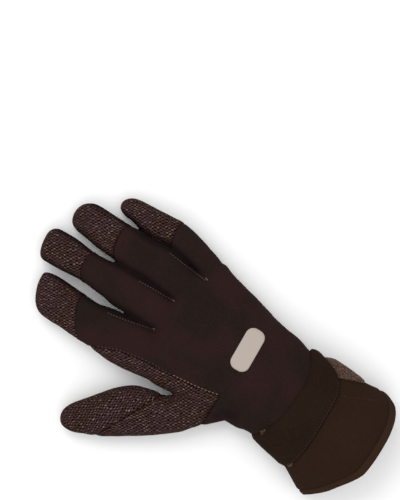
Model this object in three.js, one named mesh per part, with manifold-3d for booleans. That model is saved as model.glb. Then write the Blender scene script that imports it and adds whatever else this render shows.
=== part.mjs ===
// A right-hand diving glove of sewn neoprene and woven grip cloth, lying palm down on a table.
// Millimetres. +Y runs to the fingertips, -X is the thumb side, +Z is the back of the hand.
// The walls are true hollow walls: the hand goes in at the cuff and each finger has its own stall.
import * as THREE from 'three';
import { mergeVertices } from 'three/addons/utils/BufferGeometryUtils.js';
import Module from 'manifold-3d';

const wasm = await Module();
wasm.setup();

// Driving dimensions: walls and clearances
const WALL = 3; // neoprene with its cloth facings
const SEAM_GAP = 0.35; // clearance between two sewn panels
const STRAP_CLEARANCE = 0.5; // between the glove and what is wrapped round it

// Driving dimensions: the hand part. Lengths run from the wrist line, y = 0.
const PALM_LENGTH = 91; // wrist line to the crotch between index and middle finger
const WRIST_WIDTH = 77;
const PALM_HEIGHT = 33;
const TEXTURE_START = 23; // where the grip cloth begins, beyond the wrist line
const PARTING_HEIGHT = 13; // height of the seam between back and palm side
const STRIP_WIDTH = 12; // grip cloth that wraps from the palm onto the back, thumb side

// Driving dimensions: the cuff
const CUFF_LENGTH = 103; // wrist line to the end of the cuff at its longest
const CUFF_WIDTH = 98;
const CUFF_HEIGHT = 41;
const CUFF_SLANT = 35; // the thumb side of the cuff is this much shorter
const HEM_WIDTH = 6;

// Driving dimensions: the fingers. start is how far short of the palm's length the stall begins,
// cap and under are the lengths of the grip cloth cap on the back and on the palm side, round is the
// radius of the tip, and lean draws its end towards the little finger, as a share of its half width.
const FINGERS = {
  index: { start: 0, length: 92.5, width: 29.5, height: 21, cap: 32.5, under: 49.5, round: 17, lean: 0.7 },
  middle: { start: 0, length: 105, width: 25.5, height: 21, cap: 33, under: 52, round: 8.5, lean: 0.3 },
  ring: { start: 1.5, length: 96, width: 28, height: 21, cap: 38, under: 52, round: 12, lean: 0 },
  little: { start: 14.5, length: 82, width: 20, height: 18, cap: 46, under: 54, round: 10, lean: 0 },
};
const FINGER_GAP = 8; // widest gap between two fingers
const FINGER_ARCH = 5; // how far the middle of a finger stands off the table
const FINGER_ROOT = 18; // how deep a stall's loft starts inside the palm
const PALM_ROUND = 12; // radius of the palm's end, inside the fingers
const FINGER_BASE_DROP = 8; // the finger base panel starts this far below the crotches

// Driving dimensions: the thumb
const THUMB_LENGTH = 115;
const THUMB_WIDTH = 36;
const THUMB_HEIGHT = 25;
const THUMB_ANGLE = 32; // degrees away from the fingers
const THUMB_TIP_RADIUS = 14;
const THUMB_SEAM = 0.51; // where the stall's seam crosses the thumb's axis, as a share of its length
const THUMB_SEAM_SLANT = -60; // degrees between that seam and a square cut

// Driving dimensions: strap, loop patch and name patch
const STRAP_WIDTH = 32;
const STRAP_THICKNESS = 2;
const STRAP_SETBACK = 33; // wrist line to the middle of the strap
const LOOP_LENGTH = 40;
const LOOP_THICKNESS = 1.2;
const PATCH_WIDTH = 34;
const PATCH_LENGTH = 15;
const PATCH_CORNER = 6;
const PATCH_THICKNESS = 0.8;
const PATCH_SETBACK = 22; // wrist line to the middle of the name patch
const PATCH_OFFSET = 22; // how far it lies towards the little finger

// Facets
const BODY_SIDES = 32;
const FINGER_SIDES = 14;
const THUMB_SIDES = 16;
const TIP_RINGS = 3;
const STRAP_STEPS = 4; // facets across the strap's width
const FAR = 400; // larger than the glove, for cutting blocks

// Materials, with the colours of the photograph
const neoprene = new THREE.MeshStandardMaterial({ color: 0x2a2020, roughness: 0.8, metalness: 0 });
const gripCloth = new THREE.MeshStandardMaterial({ color: 0x40302f, roughness: 0.95, metalness: 0 });
const strapCloth = new THREE.MeshStandardMaterial({ color: 0x2c2119, roughness: 0.9, metalness: 0 });
const loopPile = new THREE.MeshStandardMaterial({ color: 0x5a463c, roughness: 1, metalness: 0 });
const print = new THREE.MeshStandardMaterial({ color: 0xb9aca4, roughness: 0.6, metalness: 0 });

// Tables

// The cuff from its end to the wrist. widen runs from the wrist's width to the cuff's,
// centre is a share of the cuff's width, bottom and top are shares of the cuff's height.
const CUFF_ROWS = [
  { along: -1.2, widen: 1.14, centre: -0.046, bottom: -0.04, top: 0.98 },
  { along: -0.95, widen: 1.12, centre: -0.046, bottom: -0.04, top: 0.97 },
  { along: -0.78, widen: 1.0, centre: -0.04, bottom: -0.03, top: 0.92 },
  { along: -0.66, widen: 0.9, centre: -0.034, bottom: 0.0, top: 0.88 },
  { along: -0.58, widen: 0.74, centre: -0.017, bottom: 0.02, top: 0.85 },
  { along: -0.49, widen: 0.49, centre: 0.013, bottom: 0.06, top: 0.83 },
  { along: -0.42, widen: 0.3, centre: 0.032, bottom: 0.075, top: 0.815 },
  { along: -0.25, widen: 0.0, centre: 0.042, bottom: 0.08, top: 0.8 },
  { along: -0.1, widen: 0.07, centre: 0.083, bottom: 0.075, top: 0.8 },
  { along: 0.0, widen: 0.25, centre: 0.085, bottom: 0.06, top: 0.8 },
];

// The palm from the wrist to the knuckles. widen runs from the wrist's width to the knuckles',
// centre is a share of the knuckles' width, bottom and top are shares of the palm's height.
const PALM_ROWS = [
  { along: 0.0, widen: 0.155, centre: 0.075, bottom: 0.075, top: 0.99 },
  { along: 0.14, widen: 0.24, centre: 0.086, bottom: -0.07, top: 1.01 },
  { along: 0.33, widen: 0.43, centre: 0.106, bottom: -0.12, top: 1.01 },
  { along: 0.66, widen: 0.73, centre: 0.14, bottom: -0.12, top: 0.94 },
  { along: 0.76, widen: 0.84, centre: 0.15, bottom: -0.11, top: 0.9 },
  { along: 0.86, widen: 0.6, centre: 0.13, bottom: -0.08, top: 0.85 },
  { along: 1.0, widen: 0.1, centre: 0.08, bottom: 0.03, top: 0.74 },
];

// A finger from its crotch to its tip. lift is a share of FINGER_ARCH, depth of the finger's height.
const FINGER_ROWS = [
  { along: -0.25, lift: 0.9, depth: 0.8 },
  { along: 0.0, lift: 0.3, depth: 1.14 },
  { along: 0.2, lift: 0.8, depth: 1.06 },
  { along: 0.4, lift: 1.0, depth: 0.98 },
  { along: 0.62, lift: 0.6, depth: 0.96 },
  { along: 0.8, lift: 0.0, depth: 0.95 },
  { along: 1.0, lift: -0.25, depth: 0.85 },
];

// Each finger's width along its length, as shares of its own width.
const FINGER_WIDTHS = [
  { along: -0.25, index: 1.15, middle: 0.95, ring: 0.92, little: 0.82 },
  { along: 0.0, index: 1.25, middle: 1.03, ring: 0.98, little: 0.94 },
  { along: 0.2, index: 1.19, middle: 1.03, ring: 0.99, little: 0.98 },
  { along: 0.4, index: 1.05, middle: 1.03, ring: 0.93, little: 0.99 },
  { along: 0.62, index: 1.05, middle: 0.91, ring: 1.0, little: 1.0 },
  { along: 0.8, index: 1.07, middle: 1.04, ring: 0.95, little: 0.88 },
  { along: 1.0, index: 1.03, middle: 1.03, ring: 0.82, little: 0.7 },
];

// The gaps on the little-finger side of each finger, as shares of FINGER_GAP, and lean, the drift
// of the line between index and middle finger towards the little finger.
const GAP_ROWS = [
  { along: -0.25, index: 0.0, middle: 0.0, ring: -0.2, lean: 0.0 },
  { along: 0.0, index: 0.05, middle: 0.05, ring: 0.2, lean: 0.0 },
  { along: 0.2, index: 0.55, middle: 0.29, ring: 0.37, lean: -0.09 },
  { along: 0.4, index: 0.81, middle: 0.25, ring: 0.46, lean: -0.16 },
  { along: 0.62, index: 0.88, middle: 0.5, ring: 0.46, lean: 0.06 },
  { along: 0.8, index: 0.6, middle: 0.6, ring: 0.46, lean: 0.075 },
  { along: 1.0, index: 0.6, middle: 0.6, ring: 0.46, lean: 0.075 },
];

// The thumb from its root inside the palm to its tip. width and centre are shares of the thumb's
// width, bottom and top of its height.
const THUMB_ROWS = [
  { along: -0.13, width: 0.36, centre: 0.02, bottom: 0.24, top: 0.7 },
  { along: -0.02, width: 0.5, centre: 0.01, bottom: 0.12, top: 0.84 },
  { along: 0.11, width: 0.7, centre: 0.04, bottom: 0.02, top: 0.98 },
  { along: 0.22, width: 0.8, centre: -0.01, bottom: -0.05, top: 1.03 },
  { along: 0.3, width: 0.79, centre: -0.036, bottom: -0.06, top: 1.03 },
  { along: 0.4, width: 0.945, centre: 0.022, bottom: -0.06, top: 1.02 },
  { along: 0.5, width: 1.05, centre: 0.067, bottom: -0.06, top: 1.0 },
  { along: 0.62, width: 1.01, centre: 0.057, bottom: -0.06, top: 0.96 },
  { along: 0.73, width: 0.9, centre: 0.014, bottom: -0.06, top: 0.91 },
  { along: 0.87, width: 0.67, centre: -0.02, bottom: -0.06, top: 0.84 },
  { along: 1.0, width: 0.52, centre: -0.05, bottom: -0.05, top: 0.78 },
];

// The seam between back panel and grip cloth on the thumb side: along is a share of the palm's
// length, wide a share of STRIP_WIDTH measured in from the thumb side of the glove.
const STRIP_ROWS = [
  { along: 0.26, wide: 1.25 },
  { along: 0.4, wide: 1.1 },
  { along: 0.7, wide: 0.98 },
  { along: 0.85, wide: 1.0 },
  { along: 1.04, wide: 1.0 },
  { along: 1.2, wide: 0.76 },
  { along: 1.38, wide: 0.0 },
];

// The strap round the wrist, from its sewn end under the thumb side, over the back, to its tapered
// end past the little-finger side. turn is the angle from the little-finger side in degrees,
// front and rear are shares of the strap's width from its middle line, lift stands it off the glove.
const STRAP_ROWS = [
  { turn: 250, front: 0.56, rear: -0.34, lift: 0 },
  { turn: 200, front: 0.6, rear: -0.3, lift: 0 },
  { turn: 180, front: 0.62, rear: -0.31, lift: 0 },
  { turn: 160, front: 0.56, rear: -0.42, lift: 0 },
  { turn: 120, front: 0.34, rear: -0.58, lift: 0 },
  { turn: 90, front: 0.2, rear: -0.64, lift: 0 },
  { turn: 60, front: 0.18, rear: -0.62, lift: 0.2 },
  { turn: 40, front: 0.26, rear: -0.4, lift: 0.7 },
  { turn: 20, front: 0.38, rear: 0.0, lift: 1 },
  { turn: 0, front: 0.42, rear: 0.2, lift: 1 },
  { turn: -20, front: 0.42, rear: 0.22, lift: 1 },
];

// The cuff's end in plan. across is a share of its half width, up a share of CUFF_SLANT.
const CUFF_END = [
  { across: -1.05, up: 1.25 },
  { across: -0.99, up: 1.07 },
  { across: -0.91, up: 0.93 },
  { across: -0.74, up: 0.66 },
  { across: -0.58, up: 0.48 },
  { across: -0.32, up: 0.215 },
  { across: -0.17, up: 0.12 },
  { across: 0.24, up: 0.065 },
  { across: 0.62, up: 0.09 },
  { across: 0.88, up: 0.23 },
  { across: 0.98, up: 0.46 },
  { across: 1.05, up: 0.8 },
];

// The loop patch on the little-finger side: along is its place from its front to its rear edge.
const LOOP_FACETS = [-5, 3]; // from and to, in facets of the glove from the little-finger side
const LOOP_FRONT = 0.22; // its front edge, as a share of the strap's width from its middle line
const LOOP_BULGE = 1.5; // how far its middle stands out
const LOOP_STEPS = 4;
const STRAP_LIFT = LOOP_THICKNESS + LOOP_BULGE / 2 + SEAM_GAP; // where the strap crosses the patch

// Table and section functions

// The row of a table at any place along it, by cubic interpolation of every column.
function rowAt(rows, along, key = 'along') {
  const last = rows.length - 1;
  let i = 0;
  while (i < last - 1 && along > rows[i + 1][key]) i += 1;
  const [a, b] = [rows[i], rows[i + 1]];
  const span = b[key] - a[key];
  const t = Math.min(1, Math.max(0, (along - a[key]) / span));
  const made = {};
  for (const column of Object.keys(a)) {
    const before = rows[Math.max(0, i - 1)];
    const after = rows[Math.min(last, i + 2)];
    const slopeIn = ((b[column] - before[column]) / (b[key] - before[key])) * span;
    const slopeOut = ((after[column] - a[column]) / (after[key] - a[key])) * span;
    const cubic = (2 * t - 3) * t * t;
    made[column] =
      a[column] * (cubic + 1) - b[column] * cubic +
      slopeIn * t * (1 - t) * (1 - t) - slopeOut * t * t * (1 - t);
  }
  return made;
}

const mix = (a, b, share) => a + (b - a) * share;

// The shrink of a section near a rounded tip: 1 before the rounding, 0 at the tip.
function tipShrink(along, end, radius) {
  const u = (along - (end - radius)) / radius;
  return u <= 0 ? 1 : Math.pow(Math.max(0, 1 - Math.pow(u, 2.3)), 1 / 2.3);
}

// A finger's width and height at a distance y from the wrist line.
function fingerShare(name, y) {
  const finger = FINGERS[name];
  return (y - (PALM_LENGTH - finger.start)) / finger.length;
}

function fingerWidth(name, y) {
  return FINGERS[name].width * rowAt(FINGER_WIDTHS, fingerShare(name, y))[name];
}

// The middle of a finger at y: the fingers lie side by side from the gap at x = 0.
function fingerCentre(name, y) {
  const gaps = rowAt(GAP_ROWS, fingerShare('middle', y));
  const gap = (key) => FINGER_GAP * gaps[key];
  if (name === 'index') return gap('lean') - gap('index') / 2 - fingerWidth('index', y) / 2;
  let left = gap('lean') + gap('index') / 2;
  for (const other of ['middle', 'ring', 'little']) {
    const width = fingerWidth(other, y);
    if (other === name) return left + width / 2;
    left += width + gap(other);
  }
  return left;
}

// The knuckles are as wide as the four fingers side by side.
const KNUCKLE_WIDTH = Object.keys(FINGERS).reduce((sum, name) => {
  return sum + fingerWidth(name, PALM_LENGTH - FINGERS[name].start);
}, 0);

// The section of palm and cuff at y: middle, half width, and the heights of bottom and top.
function bodySection(y) {
  if (y < 0) {
    const row = rowAt(CUFF_ROWS, y / CUFF_LENGTH);
    return {
      centre: row.centre * CUFF_WIDTH,
      half: mix(WRIST_WIDTH, CUFF_WIDTH, row.widen) / 2,
      bottom: row.bottom * CUFF_HEIGHT,
      top: row.top * CUFF_HEIGHT,
    };
  }
  const row = rowAt(PALM_ROWS, y / PALM_LENGTH);
  return {
    centre: row.centre * KNUCKLE_WIDTH,
    half: mix(WRIST_WIDTH, KNUCKLE_WIDTH, row.widen) / 2,
    bottom: row.bottom * PALM_HEIGHT,
    top: row.top * PALM_HEIGHT,
  };
}

function fingerSection(name, y) {
  const finger = FINGERS[name];
  const row = rowAt(FINGER_ROWS, fingerShare(name, y));
  const bottom = row.lift * FINGER_ARCH;
  return {
    centre: fingerCentre(name, y),
    half: fingerWidth(name, y) / 2,
    bottom,
    top: bottom + row.depth * finger.height,
  };
}

function thumbSection(y) {
  const row = rowAt(THUMB_ROWS, y / THUMB_LENGTH);
  return {
    centre: row.centre * THUMB_WIDTH,
    half: (row.width * THUMB_WIDTH) / 2,
    bottom: row.bottom * THUMB_HEIGHT,
    top: row.top * THUMB_HEIGHT,
  };
}

// One point of a section: a rounded rectangle-like oval, taken in by inset and by shrink.
function sectionPoint(section, y, angle, inset, shrink = 1) {
  const power = 2 / 2.4;
  const bow = (value) => Math.sign(value) * Math.pow(Math.abs(value), power);
  const middle = (section.top + section.bottom) / 2;
  const halfHeight = (section.top - section.bottom) / 2;
  return new THREE.Vector3(
    section.centre + bow(Math.cos(angle)) * (section.half - inset) * shrink,
    y,
    middle + bow(Math.sin(angle)) * (halfHeight - inset) * shrink,
  );
}

// Solids

// A closed skin over rings of points, each end closed with a fan.
function loft(rings) {
  const sides = rings[0].length;
  const points = rings.flat();
  const ends = [rings[0], rings[rings.length - 1]].map((ring) => {
    const middle = new THREE.Vector3();
    ring.forEach((point) => middle.addScaledVector(point, 1 / sides));
    points.push(middle);
    return points.length - 1;
  });
  const faces = [];
  for (let k = 0; k < sides; k += 1) {
    const next = (k + 1) % sides;
    for (let r = 0; r < rings.length - 1; r += 1) {
      const [a, b] = [r * sides + k, r * sides + next];
      faces.push(a, a + sides, b, b, a + sides, b + sides);
    }
    const lastRing = (rings.length - 1) * sides;
    faces.push(ends[0], k, next, ends[1], lastRing + next, lastRing + k);
  }
  const geometry = new THREE.BufferGeometry().setFromPoints(points);
  geometry.setIndex(faces);
  return geometry;
}

// A geometry as a manifold-3d solid, turned the right way out.
function solidOf(geometry) {
  const plain = new THREE.BufferGeometry();
  plain.setAttribute('position', geometry.getAttribute('position'));
  plain.setIndex(geometry.index);
  const merged = mergeVertices(plain, 1e-4);
  const build = (triVerts) => {
    const vertProperties = merged.attributes.position.array;
    return new wasm.Manifold(new wasm.Mesh({ numProp: 3, vertProperties, triVerts }));
  };
  const made = build(new Uint32Array(merged.index.array));
  return made.volume() < 0 ? build(new Uint32Array(merged.index.array).reverse()) : made;
}

// A loft along y with a rounded tip, made smaller all round by inset. lean draws the tip sideways.
function stall(sectionOf, stations, end, radius, sides, inset, lean = 0) {
  const rings = [];
  const tip = end - inset;
  const round = radius - inset;
  const addRing = (y, shrink) => {
    const ring = [];
    const section = sectionOf(y);
    section.centre += lean * (1 - shrink) * section.half;
    for (let k = 0; k < sides; k += 1) {
      ring.push(sectionPoint(section, y, (k / sides) * 2 * Math.PI, inset, shrink));
    }
    rings.push(ring);
  };
  stations.filter((y) => y < tip - round).forEach((y) => addRing(y, 1));
  for (let k = 0; k <= TIP_RINGS; k += 1) {
    const y = tip - round + round * Math.sin((k / (TIP_RINGS + 0.25)) * (Math.PI / 2));
    addRing(y, tipShrink(y, tip, round));
  }
  return solidOf(loft(rings));
}

function fingerStall(name, inset) {
  const finger = FINGERS[name];
  const crotch = PALM_LENGTH - finger.start;
  const stations = [crotch - FINGER_ROOT];
  for (const row of FINGER_ROWS.slice(1, -1)) stations.push(crotch + row.along * finger.length);
  const end = crotch + finger.length;
  const sectionOf = (y) => fingerSection(name, y);
  return stall(sectionOf, stations, end, finger.round, FINGER_SIDES, inset, finger.lean);
}

// Places something drawn along +Y on the thumb's own axis.
const THUMB_ROOT = new THREE.Vector2(-0.29, 0.23); // shares of the knuckles' width and palm's length
const thumbPlace = new THREE.Matrix4()
  .makeRotationZ(THREE.MathUtils.degToRad(THUMB_ANGLE))
  .setPosition(THUMB_ROOT.x * KNUCKLE_WIDTH, THUMB_ROOT.y * PALM_LENGTH, 0);

function place(solid, matrix) {
  return solid.transform(matrix.toArray());
}

function thumbStall(inset) {
  const stations = THUMB_ROWS.slice(0, -1).map((row) => row.along * THUMB_LENGTH);
  const made = stall(thumbSection, stations, THUMB_LENGTH, THUMB_TIP_RADIUS, THUMB_SIDES, inset);
  return place(made, thumbPlace);
}

function bodyTube(inset) {
  const stations = CUFF_ROWS.map((row) => row.along * CUFF_LENGTH);
  PALM_ROWS.slice(1, -1).forEach((row) => stations.push(row.along * PALM_LENGTH));
  return stall(bodySection, stations, PALM_LENGTH, PALM_ROUND, BODY_SIDES, inset);
}

// A block from one corner to another, for cutting.
function block(low, high) {
  const size = high.clone().sub(low);
  const geometry = new THREE.BoxGeometry(size.x, size.y, size.z);
  geometry.translate(...low.clone().add(high).multiplyScalar(0.5));
  return solidOf(geometry);
}

// A prism over an outline of [x, y] points or a Shape, from z = low to z = high.
function prism(outline, low, high) {
  const shape = Array.isArray(outline)
    ? new THREE.Shape(outline.map(([x, y]) => new THREE.Vector2(x, y)))
    : outline;
  const geometry = new THREE.ExtrudeGeometry(shape, {
    depth: high - low, bevelEnabled: false, curveSegments: 2,
  });
  geometry.translate(0, 0, low);
  return solidOf(geometry);
}

// The whole glove's form, taken in by inset, flat where it rests on the table.
function form(inset) {
  let made = bodyTube(inset).add(thumbStall(inset));
  for (const name of Object.keys(FINGERS)) made = made.add(fingerStall(name, inset));
  const floor = Math.max(0, inset);
  return made.intersect(block(
    new THREE.Vector3(-FAR, -FAR, floor), new THREE.Vector3(FAR, FAR, FAR),
  ));
}

// The plan of everything short of the cuff's end, which is trimmed back by trim.
function cuffPlan(trim) {
  const far = bodySection(-CUFF_LENGTH * 0.9);
  const edge = CUFF_END.map((row) => new THREE.Vector2(
    far.centre + row.across * far.half,
    trim - CUFF_LENGTH + row.up * CUFF_SLANT,
  ));
  const shape = new THREE.Shape();
  shape.moveTo(-FAR, FAR);
  shape.lineTo(-FAR, edge[0].y);
  shape.lineTo(edge[0].x, edge[0].y);
  shape.splineThru(edge.slice(1));
  shape.lineTo(FAR, edge[edge.length - 1].y);
  shape.lineTo(FAR, FAR);
  return prism(shape, -FAR, FAR);
}

// Everything beyond a cut that crosses a finger on a slant, cap long on the back, under long below.
function beyondCap(name, slack) {
  const finger = FINGERS[name];
  const tip = PALM_LENGTH - finger.start + finger.length;
  const section = fingerSection(name, tip - finger.cap);
  const slope = (finger.under - finger.cap) / (section.top - section.bottom);
  const edge = (z) => tip - finger.cap - (section.top - z) * slope - slack;
  const side = new THREE.Shape([
    new THREE.Vector2(edge(-FAR / 8), -FAR / 8),
    new THREE.Vector2(FAR, -FAR / 8),
    new THREE.Vector2(FAR, FAR / 8),
    new THREE.Vector2(edge(FAR / 8), FAR / 8),
  ]);
  const geometry = new THREE.ExtrudeGeometry(side, { depth: FAR, bevelEnabled: false });
  // The side view is drawn in y and z, and x is its depth.
  const turn = new THREE.Matrix4().makeBasis(
    new THREE.Vector3(0, 1, 0), new THREE.Vector3(0, 0, 1), new THREE.Vector3(1, 0, 0),
  );
  geometry.applyMatrix4(turn).translate(-FAR / 2, 0, 0);
  const around = fingerStall(name, -slack);
  return solidOf(geometry).intersect(around);
}

// Everything beyond the slanted seam of the thumb.
function beyondThumbSeam(slack) {
  const cut = new THREE.Matrix4()
    .makeRotationZ(THREE.MathUtils.degToRad(THUMB_SEAM_SLANT))
    .setPosition(thumbSection(THUMB_SEAM * THUMB_LENGTH).centre, THUMB_SEAM * THUMB_LENGTH, 0);
  const half = block(new THREE.Vector3(-FAR, -slack, -FAR), new THREE.Vector3(FAR, FAR, FAR));
  const stalled = place(place(half, cut), thumbPlace).intersect(thumbStall(-slack));
  return stalled.subtract(bodyTube(slack - SEAM_GAP));
}

// The side of the glove nearest the thumb at y: the body's, or the index finger's beyond the palm.
function thumbSideAt(y) {
  const body = bodySection(Math.min(y, PALM_LENGTH * 0.76));
  const bodySide = body.centre - body.half;
  if (y < PALM_LENGTH * 0.86) return bodySide;
  return fingerCentre('index', y) - fingerWidth('index', y) / 2;
}

// The grip cloth's zone: the palm side below the seam, and the strip that wraps onto the back.
function gripZone(slack) {
  const below = block(
    new THREE.Vector3(-FAR, TEXTURE_START - slack, -FAR),
    new THREE.Vector3(FAR, FAR, PARTING_HEIGHT + slack),
  );
  const outline = [[-FAR, TEXTURE_START - slack]];
  for (const row of STRIP_ROWS) {
    const y = row.along * PALM_LENGTH;
    const seam = thumbSideAt(y) + row.wide * STRIP_WIDTH + slack;
    outline.push([seam, row === STRIP_ROWS[0] ? TEXTURE_START - slack : y]);
  }
  outline.push([-FAR, STRIP_ROWS[STRIP_ROWS.length - 1].along * PALM_LENGTH]);
  return below.add(prism(outline, -FAR, FAR));
}

// The smooth panel's zone at the base of the middle, ring and little fingers, palm side.
function fingerBaseZone(slack) {
  const crotch = (name) => PALM_LENGTH - FINGERS[name].start - FINGER_BASE_DROP - slack;
  const ringSide = fingerCentre('little', crotch('little')) - FINGERS.little.width / 2;
  return prism([
    [-slack, FAR],
    [-slack, crotch('middle')],
    [fingerCentre('ring', crotch('ring')), crotch('ring') - 1],
    [ringSide, crotch('little') + 2],
    [FAR, crotch('little') - FINGER_BASE_DROP],
    [FAR, FAR],
  ], -FAR, PARTING_HEIGHT + slack);
}

// Everything on the finger side of the strap's middle line.
function handHalf(slack) {
  return block(
    new THREE.Vector3(-FAR, -STRAP_SETBACK - slack, -FAR), new THREE.Vector3(FAR, FAR, FAR),
  );
}

// The strap: a band wrapped round the wrist, its sides on the glove's own facets.
function strapSolid() {
  const first = STRAP_ROWS[0].turn;
  const last = STRAP_ROWS[STRAP_ROWS.length - 1].turn;
  const climbing = STRAP_ROWS.map((row) => ({ ...row, turn: -row.turn }));
  const steps = Math.round(((first - last) / 360) * BODY_SIDES);
  const rings = [];
  for (let k = 0; k <= steps; k += 1) {
    const turn = mix(first, last, k / steps);
    const row = rowAt(climbing, -turn, 'turn');
    const over = Math.min(1, Math.max(0, row.lift)) * STRAP_LIFT;
    const ring = [];
    const addPoint = (share, out) => {
      const y = -STRAP_SETBACK + mix(row.front, row.rear, share) * STRAP_WIDTH;
      const angle = THREE.MathUtils.degToRad(turn);
      ring.push(sectionPoint(bodySection(y), y, angle, -(STRAP_CLEARANCE + over + out)));
    };
    for (let s = 0; s <= STRAP_STEPS; s += 1) addPoint(s / STRAP_STEPS, STRAP_THICKNESS);
    for (let s = STRAP_STEPS; s >= 0; s -= 1) addPoint(s / STRAP_STEPS, 0);
    rings.push(ring);
  }
  return solidOf(loft(rings));
}

// The loop patch: a curved pad that bulges in its middle.
function loopSolid() {
  const front = -STRAP_SETBACK + LOOP_FRONT * STRAP_WIDTH;
  const [first, last] = LOOP_FACETS;
  const rings = [];
  for (let facet = first; facet <= last; facet += 1) {
    const angle = (facet / BODY_SIDES) * 2 * Math.PI;
    const across = Math.sin((Math.PI * (facet - first)) / (last - first));
    const ring = [];
    const addPoint = (share, out) => {
      const y = front - share * LOOP_LENGTH;
      ring.push(sectionPoint(bodySection(y), y, angle, -(STRAP_CLEARANCE + out)));
    };
    for (let k = 0; k <= LOOP_STEPS; k += 1) {
      const share = k / LOOP_STEPS;
      addPoint(share, LOOP_THICKNESS + LOOP_BULGE * across * Math.sin(Math.PI * share));
    }
    for (let k = LOOP_STEPS; k >= 0; k -= 1) addPoint(k / LOOP_STEPS, 0);
    rings.push(ring);
  }
  return solidOf(loft(rings));
}

// The name patch: a thin plate that follows the back of the hand.
function patchSolid() {
  const [w, l, r] = [PATCH_WIDTH / 2, PATCH_LENGTH / 2, PATCH_CORNER];
  const shape = new THREE.Shape();
  shape.absarc(w - r, l - r, r, 0, Math.PI / 2);
  shape.absarc(r - w, l - r, r, Math.PI / 2, Math.PI);
  shape.absarc(r - w, r - l, r, Math.PI, 1.5 * Math.PI);
  shape.absarc(w - r, r - l, r, 1.5 * Math.PI, 2 * Math.PI);
  const middle = new THREE.Matrix4().makeTranslation(PATCH_OFFSET, PATCH_SETBACK, 0);
  const cookie = place(prism(shape, PARTING_HEIGHT, FAR), middle);
  const under = bodyTube(-SEAM_GAP);
  return bodyTube(-SEAM_GAP - PATCH_THICKNESS).subtract(under).intersect(cookie);
}

// Assembly

const outer = form(0);
const inner = form(WALL);
const shell = outer.subtract(inner).intersect(cuffPlan(0));
const thumbTip = shell.intersect(beyondThumbSeam(0));

let rest = shell.subtract(beyondThumbSeam(SEAM_GAP));
const caps = {};
for (const name of Object.keys(FINGERS)) {
  caps[name] = shell.intersect(beyondCap(name, 0));
  rest = rest.subtract(beyondCap(name, SEAM_GAP));
}

const hand = rest.intersect(handHalf(0));
const gauntlet = rest.subtract(handHalf(SEAM_GAP));
const palmSide = hand.intersect(gripZone(0));

const glove = new THREE.Group();

function add(name, solid, material) {
  const { vertProperties, triVerts, numProp, numVert } = solid.getMesh();
  const positions = new Float32Array(numVert * 3);
  for (let i = 0; i < numVert; i += 1) {
    positions.set(vertProperties.subarray(i * numProp, i * numProp + 3), i * 3);
  }
  const geometry = new THREE.BufferGeometry();
  geometry.setAttribute('position', new THREE.BufferAttribute(positions, 3));
  geometry.setIndex(new THREE.BufferAttribute(triVerts, 1));
  geometry.computeVertexNormals();
  const mesh = new THREE.Mesh(geometry, material);
  mesh.name = name;
  glove.add(mesh);
}

add('back_panel', hand.subtract(gripZone(SEAM_GAP)), neoprene);
add('palm_panel', palmSide.subtract(fingerBaseZone(SEAM_GAP)), gripCloth);
add('finger_base_panel', palmSide.intersect(fingerBaseZone(0)), neoprene);
for (const name of Object.keys(FINGERS)) add(`cap_${name}`, caps[name], gripCloth);
add('thumb_stall', thumbTip, gripCloth);
add('cuff', gauntlet.intersect(cuffPlan(HEM_WIDTH + SEAM_GAP)), neoprene);
add('cuff_hem', gauntlet.subtract(cuffPlan(HEM_WIDTH)), neoprene);
add('wrist_strap', strapSolid(), strapCloth);
add('loop_patch', loopSolid(), loopPile);
add('name_patch', patchSolid(), print);

// The origin is the middle of the glove's footprint, on the table.
const extent = new THREE.Box3().setFromObject(glove);
const middle = extent.getCenter(new THREE.Vector3());
glove.position.set(-middle.x, -middle.y, -extent.min.z);

export default glove;
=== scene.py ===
"""The look of the diving glove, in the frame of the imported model. Tables are in millimetres."""

import math

import bpy
import numpy as np
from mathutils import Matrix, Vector, noise
from mathutils.bvhtree import BVHTree


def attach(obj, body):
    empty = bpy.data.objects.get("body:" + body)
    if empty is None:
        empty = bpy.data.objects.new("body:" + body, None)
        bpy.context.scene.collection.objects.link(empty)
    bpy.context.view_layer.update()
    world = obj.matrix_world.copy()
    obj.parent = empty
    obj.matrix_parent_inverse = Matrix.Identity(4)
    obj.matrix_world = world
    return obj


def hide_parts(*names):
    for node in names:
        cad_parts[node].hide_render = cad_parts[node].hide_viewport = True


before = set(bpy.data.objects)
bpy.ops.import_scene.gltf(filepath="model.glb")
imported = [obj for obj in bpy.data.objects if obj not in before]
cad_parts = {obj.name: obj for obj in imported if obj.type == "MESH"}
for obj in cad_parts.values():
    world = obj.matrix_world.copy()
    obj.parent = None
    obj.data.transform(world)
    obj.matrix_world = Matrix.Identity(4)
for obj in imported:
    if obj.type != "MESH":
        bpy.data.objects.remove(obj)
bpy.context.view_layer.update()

# Named sizes, the same as the solids have
MM = 0.001
PALM_LENGTH = 91
WRIST_WIDTH = 77
PALM_HEIGHT = 33
TEXTURE_START = 23
PARTING_HEIGHT = 13
STRIP_WIDTH = 12
CUFF_LENGTH = 103
CUFF_WIDTH = 98
CUFF_HEIGHT = 41
CUFF_SLANT = 35
HEM_WIDTH = 6
FINGER_GAP = 8
FINGER_ARCH = 5
FINGER_ROOT = 18
PALM_ROUND = 12
FINGER_BASE_DROP = 8
THUMB_LENGTH = 115
THUMB_WIDTH = 36
THUMB_HEIGHT = 25
THUMB_ANGLE = math.radians(32)
THUMB_TIP_RADIUS = 14
THUMB_SEAM = 0.51
THUMB_SEAM_SLANT = math.radians(-60)
STRAP_WIDTH = 32
STRAP_CLEARANCE = 0.5
STRAP_THICKNESS = 2
STRAP_SETBACK = 33
LOOP_LENGTH = 40
LOOP_THICKNESS = 1.2
LOOP_BULGE = 1.5
LOOP_FRONT = 0.22
STRAP_LIFT_GAP = 0.35
STRAP_LIFT = LOOP_THICKNESS + LOOP_BULGE / 2 + STRAP_LIFT_GAP
SECTION_POWER = 2.4
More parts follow.
